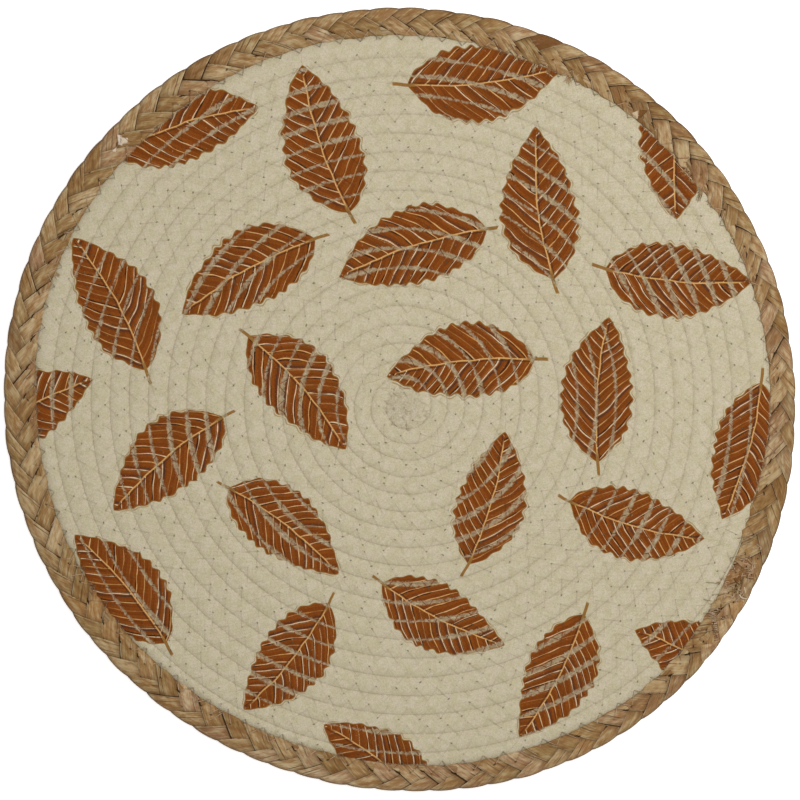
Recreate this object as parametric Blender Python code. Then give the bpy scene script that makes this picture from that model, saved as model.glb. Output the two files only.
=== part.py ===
"""Round placemat: a flat coil of sewn cotton rope with a plaited leaf border.

Metres, +Z up.  The mat lies flat with its underside at z = 0, and the middle of its
outline's box is the origin.  Angles are in degrees, counter-clockwise from +X as seen
from above, and the rope winds outwards that way too.
"""

import math

import bmesh
import bpy

# Outline of the whole mat: a circle drawn slightly out of true by the sewing.
MAT_RADIUS = 0.1900
OUTLINE_CENTRE = (0.00099, -0.0001)
OUTLINE_WAVES = (
    # waves a turn, height, angle of the wave's phase
    (2, 0.0021, 61.0),
    (3, 0.0010, 173.0),
    (4, 0.0004, -166.0),
)

# The rope and its coil.
ROPE_PITCH = 0.0092
ROPE_THICKNESS = 0.0065
COIL_CENTRE = (0.0033, -0.0003)
COIL_START = 39.6
COIL_TURNS = 19 + 5 / 6
COIL_OVAL = 0.011
COIL_OVAL_PHASE = 31.0
TURN_STEPS = 36
TOP_GROOVE_DEPTH = 0.0017
UNDER_GROOVE_DEPTH = 0.0014
FULL_HEIGHT_WIDTH = 0.55  # share of the pitch at which a narrowed turn stands full height
ROPE_TOP = (
    # share of the turn's width, share of the groove's depth filled
    (0.17, 0.74),
    (0.50, 1.00),
    (0.83, 0.74),
)
ROPE_UNDERSIDE = (
    (0.24, 1.00),
    (0.76, 1.00),
)

# Radius of the rope's outer edge, about the coil's centre, where the border meets it.
ROPE_EDGE = (
    # angle, radius
    (0, 0.1758),
    (40, 0.1753),
    (66, 0.1745),
    (90, 0.1760),
    (110, 0.1775),
    (130, 0.1782),
    (150, 0.1798),
    (167, 0.1803),
    (183, 0.1786),
    (210, 0.1768),
    (235, 0.1744),
    (257, 0.1744),
    (276, 0.1770),
    (296, 0.1788),
    (312, 0.1802),
    (325, 0.1780),
    (341, 0.1748),
)

# The border: a flat plait of three leaf strips.
SEAM_GAP = 0.0003
PLAIT_LOBES = 88
LOBE_PROFILE = (
    # height and bulge over one lobe, from crease to crease, as shares of the largest
    (0.00, 0.0),
    (1.00, 0.8),
    (0.80, 1.0),
    (0.45, 0.7),
)
LOBE_SCALLOP = 0.0013
INNER_SCALLOP = 0.0005
HALF_LOBE = len(LOBE_PROFILE) // 2
BORDER_SECTION = (
    # share of the width, height in a crease, lobe's swelling, steps the lobe trails,
    # share of the outer scallop
    (0.10, 0.0008, -0.0008, 1, 0.0),
    (0.00, 0.0034, 0.0007, 0, 0.0),
    (0.21, 0.0043, 0.0019, 1, 0.0),
    (0.44, 0.0048, 0.0000, 0, 0.0),
    (0.70, 0.0046, 0.0023, 1 + HALF_LOBE, 0.5),
    (1.00, 0.0032, 0.0010, HALF_LOBE, 1.0),
    (0.98, 0.0018, 0.0000, HALF_LOBE, 0.6),
    (0.86, 0.0008, -0.0008, 1 + HALF_LOBE, 0.0),
)
TOP_ROWS = (1, 2, 3, 4, 5)
MIDDLE_ROW = 3

# Where the plait's two ends overlap and are sewn down.
JOINT_ANGLE = 332.0
JOINT_HALF_WIDTH = 9.0
JOINT_RISE = 0.0010

# Finishes: linear colour, roughness, and the bend past which an edge is shaded sharp.
COTTON = ((0.51, 0.445, 0.31, 1.0), 0.9, 45.0)
LEAF_STRIP = ((0.29, 0.18, 0.085, 1.0), 0.7, 22.0)


def direction(angle):
    """Unit vector at an angle in the plane of the mat."""
    turn = math.radians(angle)
    return math.cos(turn), math.sin(turn)


def polar(centre, angle, radius):
    """Point at a radius and angle about a centre."""
    x, y = direction(angle)
    return centre[0] + radius * x, centre[1] + radius * y


def outline_radius(angle):
    """Mean radius of the mat's outer edge, about the outline's centre."""
    waves = (
        height * math.cos(math.radians(count * angle + phase))
        for count, height, phase in OUTLINE_WAVES
    )
    return MAT_RADIUS + sum(waves)


def edge_radius(angle):
    """Radius of the rope's outer edge: a smooth closed curve through ROPE_EDGE."""
    angle %= 360
    rows = [(a - 360, r) for a, r in ROPE_EDGE[-2:]]
    rows += list(ROPE_EDGE)
    rows += [(a + 360, r) for a, r in ROPE_EDGE[:2]]
    i = max(k for k in range(1, len(rows) - 2) if rows[k][0] <= angle)
    (a0, r0), (a1, r1), (a2, r2), (a3, r3) = rows[i - 1 : i + 3]
    share = (angle - a1) / (a2 - a1)
    slope_in = (r2 - r0) / (a2 - a0) * (a2 - a1)
    slope_out = (r3 - r1) / (a3 - a1) * (a2 - a1)
    square, cube = share**2, share**3
    return (
        (2 * cube - 3 * square + 1) * r1
        + (cube - 2 * square + share) * slope_in
        + (3 * square - 2 * cube) * r2
        + (cube - square) * slope_out
    )


def coil_angle(step):
    return COIL_START + 360 * step / TURN_STEPS


def groove_radius(step, last_step):
    """Radius of the groove outside a turn of rope; on the last turn, of the coil's edge."""
    angle = coil_angle(step)
    if step >= last_step - TURN_STEPS:
        return edge_radius(angle)
    oval = 1 + COIL_OVAL * math.cos(math.radians(2 * angle + COIL_OVAL_PHASE))
    return ROPE_PITCH * step / TURN_STEPS * oval


def coil_side_radius(angle):
    """Radius of the coil's faceted side: the chord between two of its steps."""
    step = math.floor((angle - COIL_START) / 360 * TURN_STEPS)
    before, after = coil_angle(step), coil_angle(step + 1)
    inner, outer = edge_radius(before), edge_radius(after)
    spread = inner * math.sin(math.radians(angle - before))
    spread += outer * math.sin(math.radians(after - angle))
    return inner * outer * math.sin(math.radians(after - before)) / spread


def add_face(mesh, corners):
    """Add a face through its corners, leaving out those that coincide."""
    distinct = [v for i, v in enumerate(corners) if v is not corners[i - 1]]
    if len(set(distinct)) > 2:
        mesh.faces.new(distinct)


def add_object(name, mesh, finish):
    """Turn a mesh into a smooth-shaded object with a material of its own."""
    bmesh.ops.recalc_face_normals(mesh, faces=mesh.faces[:])
    data = bpy.data.meshes.new(name)
    mesh.to_mesh(data)
    mesh.free()
    colour, roughness, crease_angle = finish
    data.shade_smooth()
    data.set_sharp_from_angle(angle=math.radians(crease_angle))
    material = bpy.data.materials.new(name)
    material.use_nodes = True
    shader = material.node_tree.nodes["Principled BSDF"]
    shader.inputs["Base Color"].default_value = colour
    shader.inputs["Roughness"].default_value = roughness
    shader.inputs["Metallic"].default_value = 0.0
    material.diffuse_color = colour
    data.materials.append(material)
    thing = bpy.data.objects.new(name, data)
    bpy.context.scene.collection.objects.link(thing)
    return thing


def rope_rows(mesh, last_step, section, groove_height, crest_height):
    """Rows of vertices across each turn, groove to groove, on one side of the coil.

    The first turn's inner groove is the coil's centre, and every other turn's is the
    groove outside the turn before.  The rope's outer end tapers into the groove there.
    """
    centre = mesh.verts.new((*COIL_CENTRE, groove_height))
    grooves = [centre]
    for step in range(1, last_step):
        x, y = polar(COIL_CENTRE, coil_angle(step), groove_radius(step, last_step))
        grooves.append(mesh.verts.new((x, y, groove_height)))
    tip = grooves[last_step - TURN_STEPS]
    grooves.append(tip)
    rows = [[centre] * (len(section) + 2)]
    for step in range(1, last_step):
        inner = grooves[max(0, step - TURN_STEPS)]
        inner_radius = math.dist(inner.co[:2], COIL_CENTRE)
        width = groove_radius(step, last_step) - inner_radius
        fullness = min(1.0, width / (FULL_HEIGHT_WIDTH * ROPE_PITCH))
        row = [inner]
        for share, fill in section:
            x, y = polar(COIL_CENTRE, coil_angle(step), inner_radius + share * width)
            height = groove_height + (crest_height - groove_height) * fill * fullness
            row.append(mesh.verts.new((x, y, height)))
        rows.append(row + [grooves[step]])
    rows.append([tip] * (len(section) + 2))
    return rows, grooves


def make_rope_coil():
    """One flat solid whose two sides show the rope's turns and the grooves between."""
    mesh = bmesh.new()
    last_step = round(COIL_TURNS * TURN_STEPS)
    top, top_grooves = rope_rows(
        mesh, last_step, ROPE_TOP, ROPE_THICKNESS - TOP_GROOVE_DEPTH, ROPE_THICKNESS
    )
    under, under_grooves = rope_rows(mesh, last_step, ROPE_UNDERSIDE, UNDER_GROOVE_DEPTH, 0.0)
    for rows in (top, under):
        for row, following in zip(rows, rows[1:]):
            for k in range(len(row) - 1):
                add_face(mesh, (row[k], row[k + 1], following[k + 1], following[k]))
    for step in range(last_step - TURN_STEPS, last_step):
        rim = (top_grooves[step], under_grooves[step])
        rim_after = (under_grooves[step + 1], top_grooves[step + 1])
        add_face(mesh, rim + rim_after)
    return add_object("rope_coil", mesh, COTTON)


def joint_rise(angle):
    """How far the overlapped ends of the plait stand above the rest of it."""
    away = abs((angle - JOINT_ANGLE + 180) % 360 - 180) / JOINT_HALF_WIDTH
    return JOINT_RISE * (0.5 + 0.5 * math.cos(math.pi * away)) if away < 1 else 0.0


def make_plaited_border():
    """A closed ring with two ranks of slanting lobes, as a three-strip plait shows."""
    mesh = bmesh.new()
    lobe_steps = len(LOBE_PROFILE)
    steps = PLAIT_LOBES * lobe_steps
    rings = []
    for step in range(steps):
        angle = 360 * step / steps
        inner = polar(COIL_CENTRE, angle, coil_side_radius(angle) + SEAM_GAP)
        outer = polar(OUTLINE_CENTRE, angle, outline_radius(angle))
        out_x, out_y = direction(angle)
        ring = []
        for k, (share, height, swelling, trail, scallop) in enumerate(BORDER_SECTION):
            lobe, bulge = LOBE_PROFILE[(step - trail) % lobe_steps]
            push = scallop * LOBE_SCALLOP * (bulge - 0.5)
            if k in TOP_ROWS and k < MIDDLE_ROW:
                push += INNER_SCALLOP * (1 - bulge) * (1 - 2 * share)
            rise = joint_rise(angle) if k in TOP_ROWS else 0.0
            x = inner[0] + share * (outer[0] - inner[0]) + push * out_x
            y = inner[1] + share * (outer[1] - inner[1]) + push * out_y
            ring.append(mesh.verts.new((x, y, height + swelling * lobe + rise)))
        rings.append(ring)
    for ring, following in zip(rings, rings[1:] + rings[:1]):
        for k, corner in enumerate(ring):
            # Each quad is cut along the creases, which run forwards to the middle row.
            if k <= MIDDLE_ROW:
                add_face(mesh, (ring[k - 1], corner, following[k]))
                add_face(mesh, (ring[k - 1], following[k], following[k - 1]))
            else:
                add_face(mesh, (ring[k - 1], corner, following[k - 1]))
                add_face(mesh, (corner, following[k], following[k - 1]))
    return add_object("plaited_border", mesh, LEAF_STRIP)


def main():
    for thing in list(bpy.data.objects):
        bpy.data.objects.remove(thing)
    make_rope_coil()
    make_plaited_border()


main()
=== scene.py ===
import math
import random

import bpy
import numpy as np
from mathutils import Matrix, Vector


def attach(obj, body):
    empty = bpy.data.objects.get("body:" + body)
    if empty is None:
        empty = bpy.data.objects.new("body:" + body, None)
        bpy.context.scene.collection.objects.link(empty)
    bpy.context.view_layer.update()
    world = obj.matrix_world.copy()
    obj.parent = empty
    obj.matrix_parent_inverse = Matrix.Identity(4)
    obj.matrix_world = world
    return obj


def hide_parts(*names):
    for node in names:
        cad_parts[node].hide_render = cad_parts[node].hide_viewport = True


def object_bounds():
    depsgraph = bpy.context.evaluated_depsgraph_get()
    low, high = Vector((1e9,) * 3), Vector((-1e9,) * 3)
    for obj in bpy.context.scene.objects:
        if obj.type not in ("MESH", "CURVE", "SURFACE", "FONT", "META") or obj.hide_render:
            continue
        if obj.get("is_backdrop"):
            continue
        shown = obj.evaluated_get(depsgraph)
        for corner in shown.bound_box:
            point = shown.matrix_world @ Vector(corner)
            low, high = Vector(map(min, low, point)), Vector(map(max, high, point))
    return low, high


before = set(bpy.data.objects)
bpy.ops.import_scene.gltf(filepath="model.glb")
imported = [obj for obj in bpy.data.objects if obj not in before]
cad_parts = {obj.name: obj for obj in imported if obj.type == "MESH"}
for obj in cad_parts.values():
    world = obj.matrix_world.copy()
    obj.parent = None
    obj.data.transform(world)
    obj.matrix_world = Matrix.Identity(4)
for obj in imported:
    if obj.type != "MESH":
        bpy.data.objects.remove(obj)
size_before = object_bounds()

# Lengths in this script are millimetres until a mesh is made; angles are degrees,
# counter-clockwise from +X seen from above, and the rope winds outwards that way.
MM = 0.001
UP = np.array((0.0, 0.0, 1.0))

# The mat's outline and coil, as in the CAD source.
MAT_RADIUS = 190.0
OUTLINE_CENTRE = np.array((0.99, -0.1))
OUTLINE_WAVES = (
    # waves round the mat, height, phase
    (2, 2.1, 61.0),
    (3, 1.0, 173.0),
    (4, 0.4, -166.0),
)
ROPE_PITCH = 9.2
COIL_CENTRE = np.array((3.3, -0.3))
COIL_START = 39.6
COIL_TURNS = 19 + 5 / 6
COIL_OVAL, COIL_OVAL_PHASE = 0.011, 31.0
ROPE_EDGE = np.array((
    # angle, distance of the rope's outer edge from the coil's centre
    (0, 175.8), (40, 175.3), (66, 174.5), (90, 176.0), (110, 177.5), (130, 178.2),
    (150, 179.8), (167, 180.3), (183, 178.6), (210, 176.8), (235, 174.4), (257, 174.4),
    (276, 177.0), (296, 178.8), (312, 180.2), (325, 178.0), (341, 174.8),
))

# The coil's first turns are looser, and lie a little off its centre.
ROPE_START = -0.45
WHORL_RADIUS, WHORL_TURNS = 6.3, 2.35
WHORL_DRIFT, WHORL_DRIFT_TURNS = np.array((-0.75, -3.2)), 8.0
CLOSED_TURNS = 0.95  # turns so tight that no groove shows inside them
CENTRE_STITCHES = 90

# The rope's section and its zigzag sewing.
ROPE_TOP, ROPE_UNDERSIDE = 6.5, 0.28
ROPE_MIDDLE, ROPE_RISE = (ROPE_TOP + ROPE_UNDERSIDE) / 2, (ROPE_TOP - ROPE_UNDERSIDE) / 2
ROPE_SQUARENESS = 3.5
ROPE_OVERLAP = 1.165  # how far each turn's section runs into the next, as pressed together
ROPE_SIDES = 20
PRESSED = 1.1  # how far the seam presses the last turn down at its outer edge
STITCH_REPEAT = 10.1
HOLE_OUTWARD, HOLE_INWARD = 2.2, 3.7
THREAD_RADIUS = 0.19
STRAND_WIDTH = 2.3  # of the rope's braided cover

# The seam of rope and border is the same zigzag, with a whole number of repeats round the mat.
SEAM_REPEATS = 111
SEAM_INWARD, SEAM_OUTWARD = 2.3, 3.4
LAST_TURN = COIL_TURNS - 1
FAR_AWAY, FAR_INSIDE = 90.0, -99.0  # beyond every seam
NO_LEAF = 200.0  # a place far from every printed leaf, in a leaf's own frame
UNSEWN = (FAR_AWAY, 0.0, 5.0)  # the facts of a place far from the seam

# The plait of three leaf strips.
LOBES = 88
LOBE_OVERLAP = 1.22
OUTER_SLANT, INNER_SLANT = 1.4, 1.28
INNER_LEAD = 5.3
FOLDS_SEEN, HUES_CHANGED = 0.78, 0.35  # shares of the strips
LOBE_SHOWN, TOOTH_AT = 0.86, 0.42  # shares of a strip's width: what shows, and its low point
STRIP_THICKNESS = 0.32
STRIP_COLUMNS, STRIP_WIDTH = 9, 9.5
PLAIT_MIDDLE = 3.3
PLAIT_RADIUS = 183.0
LOBE_STEP = 360 / LOBES
LOBE_PITCH = math.radians(LOBE_STEP) * PLAIT_RADIUS
JOINT_ANGLE, JOINT_REACH = 332.0, 11.0
# How far in mm something counts as run in under the strips, which sets how much crease shade is
# painted on it: a patch, a gap, the core.
NOT_UNDER, GAP_SHADE, HIDDEN = -9.0, 1.0, 5.0

rng = random.Random(11)


# -------------------- plan of the mat


def direction(angle):
    turn = np.radians(angle)
    return np.stack((np.cos(turn), np.sin(turn)), -1)


def smooth(value, low, high):
    """0 at low, 1 at high, with a smooth rise between."""
    share = np.clip((value - low) / (high - low), 0.0, 1.0)
    return share * share * (3 - 2 * share)


def both_ends(share, reach):
    """1 at both ends of a line, 0 from a reach inwards."""
    return 1 - smooth(np.minimum(share, 1 - share), 0.0, reach)


def arch(share):
    """0 at both ends of a line, 1 at its middle."""
    return np.sin(np.pi * share)


def outline_radius(angle):
    return MAT_RADIUS + sum(
        height * np.cos(np.radians(count * angle + phase))
        for count, height, phase in OUTLINE_WAVES
    )


def edge_radius(angle):
    """The rope's outer edge, a smooth closed curve through ROPE_EDGE."""
    angle = np.asarray(angle, float) % 360
    rows = np.concatenate((ROPE_EDGE[-2:] - (360, 0), ROPE_EDGE, ROPE_EDGE[:2] + (360, 0)))
    i = np.clip(np.searchsorted(rows[:, 0], angle, "right") - 1, 1, len(rows) - 3)
    (a0, a1, a2, a3), (r0, r1, r2, r3) = (
        [rows[i + k, column] for k in (-1, 0, 1, 2)] for column in (0, 1)
    )
    share = (angle - a1) / (a2 - a1)
    slope_in = (r2 - r0) / (a2 - a0) * (a2 - a1)
    slope_out = (r3 - r1) / (a3 - a1) * (a2 - a1)
    square, cube = share**2, share**3
    return (
        (2 * cube - 3 * square + 1) * r1
        + (cube - 2 * square + share) * slope_in
        + (3 * square - 2 * cube) * r2
        + (cube - square) * slope_out
    )


def groove(turn):
    """Point on the groove outside the rope, at a number of turns from the centre."""
    turn = np.asarray(turn, float)
    angle = COIL_START + 360 * turn
    wound = np.maximum(turn, 0.0)
    oval = 1 + COIL_OVAL * np.cos(np.radians(2 * angle + COIL_OVAL_PHASE))
    waver = 0.1 * np.sin(np.radians(7 * angle + 97 * turn))
    waver = waver + 0.08 * np.sin(np.radians(15 * angle - 171 * turn))
    free = ROPE_PITCH * wound * oval + waver * smooth(turn, 0.6, 2.0)
    opening = smooth(turn, ROPE_START, 0.0) ** 0.6
    free = free + WHORL_RADIUS * np.exp(-wound / WHORL_TURNS) * opening
    radius = np.where(turn >= LAST_TURN, edge_radius(angle) + 0.2, free)
    drift = np.exp(-((wound / WHORL_DRIFT_TURNS) ** 2))[..., None] * WHORL_DRIFT
    return COIL_CENTRE + drift + radius[..., None] * direction(angle)


def border_point(angle, share, push=0.0):
    """Point across the border: share 0 at the rope, 1 at the mat's edge, pushed outwards."""
    inner = COIL_CENTRE + edge_radius(angle)[..., None] * direction(angle)
    outer = OUTLINE_CENTRE + outline_radius(angle)[..., None] * direction(angle)
    share = np.asarray(share)[..., None]
    return inner + share * (outer - inner) + np.asarray(push)[..., None] * direction(angle)


def border_width(angle):
    return np.linalg.norm(
        border_point(angle, np.ones_like(angle)) - border_point(angle, np.zeros_like(angle)),
        axis=-1,
    )


def around_mat(plan):
    """Angle about the coil's centre, and how far beyond the rope's edge, of points in plan."""
    away = np.asarray(plan, float) - COIL_CENTRE
    angle = np.degrees(np.arctan2(away[..., 1], away[..., 0])) % 360
    return angle, np.linalg.norm(away, axis=-1) - edge_radius(angle)


def beside_rope(angle, beyond):
    """Point beyond the rope's edge, or inside it where beyond is below 0."""
    return COIL_CENTRE + (edge_radius(angle) + beyond)[..., None] * direction(angle)


def seam_hole(angle, inward):
    """How far in from the rope's edge, or out into the border, the seam's holes lie."""
    if inward:
        return SEAM_INWARD + 0.35 * np.sin(np.radians(41 * angle))
    waver = 0.5 * np.sin(np.radians(29 * angle))
    return SEAM_OUTWARD + waver + 0.3 * np.sin(np.radians(67 * angle))


def seam_facts(angle, beyond):
    """What draws the seam: how far past the rope's hole, repeats sewn, and hole to hole."""
    inward = seam_hole(angle, True)
    repeats = angle / 360 * SEAM_REPEATS
    return np.stack((beyond + inward, repeats, inward + seam_hole(angle, False)), -1)


# -------------------- meshes


def add_to_scene(name, data):
    thing = bpy.data.objects.new(name, data)
    bpy.context.scene.collection.objects.link(thing)
    return thing


def make_piece(name, points, faces, node, slot, material):
    """Mesh object of a visible piece, given its points in millimetres."""
    mesh = bpy.data.meshes.new(name)
    mesh.from_pydata((np.asarray(points) * MM).tolist(), [], faces)
    mesh.shade_smooth()
    mesh.materials.append(material)
    piece = add_to_scene(name, mesh)
    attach(piece, "root")
    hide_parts(node)
    return piece


def give(piece, domain="POINT", **facts):
    """Store facts for the material: a number or a triple for each point or corner of a piece."""
    for name, values in facts.items():
        values = np.asarray(values, np.float32)
        kind, field = ("FLOAT", "value") if values.ndim == 1 else ("FLOAT_VECTOR", "vector")
        made = piece.data.attributes.new(name, kind, domain)
        made.data.foreach_set(field, values.ravel())


def grid_faces(rows, columns, first=0, ring=False):
    """Quads of a grid of points stored row by row; a ring closes each row on itself."""
    i, j = np.meshgrid(np.arange(rows - 1), np.arange(columns - (not ring)), indexing="ij")
    i, j = i.ravel(), j.ravel()
    across = (j + 1) % columns
    corners = (i * columns + j, i * columns + across, (i + 1) * columns + across,
               (i + 1) * columns + j)
    return np.stack(corners, -1) + first


def raised(plan, z):
    """Points in space: a plan and their heights."""
    return np.concatenate((plan, z[..., None]), -1)


def unit(vectors):
    return vectors / np.maximum(np.linalg.norm(vectors, axis=-1, keepdims=True), 1e-9)


def run_along(lines):
    """Distance run from its start to each point of a line, or of each of many lines."""
    steps = np.linalg.norm(np.diff(lines, axis=-2), axis=-1)
    return np.concatenate((0 * steps[..., :1], np.cumsum(steps, axis=-1)), -1)


def normals_of(grid):
    """Unit normals of a grid of points, rows by columns by three."""
    return unit(np.cross(np.gradient(grid, axis=0), np.gradient(grid, axis=1)))


class Sheets:
    """Many thin closed strips, each a grid of points, gathered for one mesh."""

    def __init__(self):
        self.points, self.faces, self.facts = [], [], []
        self.count = 0

    def add(self, grid, row, **facts):
        """Add a strip: its top grid, a row whose normals face up, and its facts by name."""
        rows, columns = grid.shape[:2]
        normals = normals_of(grid)
        thickness = math.copysign(STRIP_THICKNESS, normals[row, 3, 2])
        under = grid - normals * thickness
        size = rows * columns
        self.points.append(np.concatenate((grid.reshape(-1, 3), under.reshape(-1, 3))))
        top = grid_faces(rows, columns, self.count)
        bottom = grid_faces(rows, columns, self.count + size)[:, ::-1]
        index = np.arange(size).reshape(rows, columns) + self.count
        rim = (index[0, :], index[1:, -1], index[-1, -2::-1], index[-2:0:-1, 0])
        rim = np.concatenate(rim)
        after = np.roll(rim, -1)
        side = np.stack((rim, rim + size, after + size, after), -1)
        self.faces += [top, bottom, side]
        self.facts.append({k: np.tile(v.reshape(-1, 3), (2, 1)) for k, v in facts.items()})
        self.count += 2 * size

    def make(self, name, *args):
        points, faces = np.concatenate(self.points), np.concatenate(self.faces)
        piece = make_piece(name, points, faces.tolist(), *args)
        for fact in self.facts[0]:
            give(piece, **{fact: np.concatenate([facts[fact] for facts in self.facts])})
        return piece


def tubes(lines, radius, sides=4):
    """Points and faces of tubes along lines, an array of lines by points by three.

    radius is one number, or one for each point of each line.
    """
    count, steps = lines.shape[:2]
    along = unit(np.gradient(lines, axis=1))
    side = np.cross(along, UP)
    weak = np.linalg.norm(side, axis=-1, keepdims=True)
    mean_side = unit(np.cross(lines[:, -1:] - lines[:, :1], UP))
    side = np.where(weak > 0.15, side / np.maximum(weak, 1e-9), mean_side)
    up = np.cross(side, along)
    turn = 2 * np.pi * (np.arange(sides) + 0.5) / sides
    radius = np.broadcast_to(radius, (count, steps))[..., None, None]
    ring = (
        lines[:, :, None]
        + radius * np.cos(turn)[:, None] * side[:, :, None]
        + radius * np.sin(turn)[:, None] * up[:, :, None]
    )
    one = grid_faces(steps, sides, 0, ring=True)[:, ::-1]
    starts = np.arange(count) * steps * sides
    faces = (one[None] + starts[:, None, None]).reshape(-1, 4).tolist()
    first, last = range(sides), range((steps - 1) * sides, steps * sides)
    for start in starts.tolist():
        faces.append([start + k for k in first])
        faces.append([start + k for k in reversed(last)])
    return ring.reshape(-1, 3), faces


# -------------------- printed leaves

LEAF_COUNT = 24
LEAF_SPREAD, LEAF_OFFSET = 38.5, 0.7
LEAF_LENGTH, LEAF_WIDTH = 35.0, 17.0
GOLDEN_ANGLE, FIRST_LEAF = 137.508, 36.0
HEADING_STEP, FIRST_HEADING = 123.7, 187.0
RIPPLE_LENGTH = 6.5


def leaf_layout():
    """Place, heading, size, hand and lot of each printed leaf: a sunflower's pattern."""
    k = np.arange(LEAF_COUNT)
    radius = LEAF_SPREAD * np.sqrt(k + LEAF_OFFSET)
    places = COIL_CENTRE + radius[:, None] * direction(FIRST_LEAF + GOLDEN_ANGLE * k)
    headings = FIRST_HEADING + HEADING_STEP * k
    sizes = 1 + 0.07 * np.sin(2.4 * k + 0.6)
    hands = np.where(k * 5 % 7 < 4, 1.0, -1.0)
    return places, headings, sizes, hands, (k * 0.618) % 1


def leaf_place(points, owners):
    """Coordinates of points in the frame of the printed leaf nearest to their owner point.

    Each owner has one point, or a row of points.
    """
    places, headings, sizes, hands, lots = leaf_layout()
    ahead, left = direction(headings), direction(headings + 90)

    def local(where, k):
        away = where - places[k]
        x = np.sum(away * ahead[k], -1) / sizes[k]
        y = np.sum(away * left[k], -1) / sizes[k] * hands[k]
        return x, y

    x, y = local(owners[:, None], np.arange(LEAF_COUNT))
    nearest = np.argmin((x / LEAF_LENGTH) ** 2 + (y / LEAF_WIDTH) ** 2, axis=-1)
    if points.ndim > owners.ndim:
        nearest = nearest[:, None]
    x, y = local(points, nearest)
    return np.stack((x, y, lots[nearest] + 0 * x), -1)


# -------------------- shader nodes


def operation(name, swapped=False):
    """A method that makes a math node of its own value and the others it is given."""

    def make(self, *others):
        values = (*others, self) if swapped else (self, *others)
        return self.net.math(name, *values)

    return make


class Wire:
    """Output of a shader node that takes part in arithmetic."""

    def __init__(self, net, socket):
        self.net, self.socket = net, socket

    __add__ = __radd__ = operation("ADD")
    __mul__ = __rmul__ = operation("MULTIPLY")
    __sub__, __rsub__ = operation("SUBTRACT"), operation("SUBTRACT", swapped=True)
    __truediv__, __pow__ = operation("DIVIDE"), operation("POWER")
    __abs__, sign, sine = operation("ABSOLUTE"), operation("SIGN"), operation("SINE")
    floor, fraction = operation("FLOOR"), operation("FRACT")

    def band(self, low, high, start=0.0, end=1.0):
        """start where this is at low, end where it is at high, smooth between."""
        inputs = (("Value", self), ("From Min", low), ("From Max", high),
                  ("To Min", start), ("To Max", end))
        return self.net.node("MapRange", inputs, interpolation_type="SMOOTHSTEP")


class Net:
    """Builds one material's nodes."""

    def __init__(self, name, **constants):
        self.material = bpy.data.materials.new(name)
        self.material.use_nodes = True
        self.tree = self.material.node_tree
        self.shader = self.tree.nodes["Principled BSDF"]
        for socket, value in constants.items():
            self.shader.inputs[socket.replace("_", " ")].default_value = value

    def link(self, value, socket):
        if isinstance(value, Wire):
            self.tree.links.new(value.socket, socket)
        elif isinstance(value, tuple) and len(value) == 3 and len(socket.default_value) == 4:
            socket.default_value = (*value, 1.0)
        else:
            socket.default_value = value

    def node(self, kind, inputs=(), outlet=0, **settings):
        made = self.tree.nodes.new("ShaderNode" + kind)
        for key, value in settings.items():
            setattr(made, key, value)
        for key, value in dict(inputs).items():
            self.link(value, made.inputs[key])
        return Wire(self, made.outputs[outlet])

    def math(self, operation, *values):
        return self.node("Math", enumerate(values), operation=operation)

    def least(self, a, b):
        return self.math("MINIMUM", a, b)

    def most(self, a, b):
        return self.math("MAXIMUM", a, b)

    def mix(self, share, a, b, blend="MIX"):
        inputs = ((0, share), (6, a), (7, b))
        return self.node("Mix", inputs, outlet=2, data_type="RGBA", blend_type=blend)

    def layers(self, colour, *others):
        """A colour with others laid over it in turn: (share, colour) pairs."""
        for share, layer in others:
            colour = self.mix(share, colour, layer)
        return colour

    def shade(self, colour, amount):
        """A colour times a number."""
        return self.mix(1.0, colour, self.vector(amount, amount, amount), "MULTIPLY")

    def vector(self, x, y, z=0.0):
        return self.node("CombineXYZ", ((0, x), (1, y), (2, z)))

    def noise(self, where, scale, detail=2.0, roughness=0.5):
        inputs = (("Vector", where), ("Scale", scale), ("Detail", detail),
                  ("Roughness", roughness))
        return self.node("TexNoise", inputs)

    def hash(self, *values):
        """Random number from 0 to 1 for whole numbers."""
        return self.node("TexWhiteNoise", (("Vector", self.vector(*values)),))

    def number(self, name):
        return self.node("Attribute", outlet="Fac", attribute_name=name)

    def split(self, whole):
        parts = self.tree.nodes.new("ShaderNodeSeparateXYZ")
        self.link(whole, parts.inputs[0])
        return [Wire(self, socket) for socket in parts.outputs]

    def triple(self, name):
        """The three numbers of a stored triple."""
        return self.split(self.node("Attribute", outlet="Vector", attribute_name=name))

    def place(self):
        """Position on the object at rest, in millimetres."""
        at = self.node("TexCoord", outlet="Object")
        return self.node("VectorMath", ((0, at), (3, 1000.0)), operation="SCALE")

    def finish(self, colour, *bumps):
        """Set the base colour and the bumps: (height in 0..1, its depth in mm) pairs."""
        self.link(colour, self.shader.inputs["Base Color"])
        normal = None
        for height, depth in bumps:
            inputs = [("Height", height), ("Distance", depth * MM), ("Strength", 1.0)]
            if normal:
                inputs.append(("Normal", normal))
            normal = self.node("Bump", inputs)
        self.link(normal, self.shader.inputs["Normal"])
        return self.material


# -------------------- materials

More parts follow.
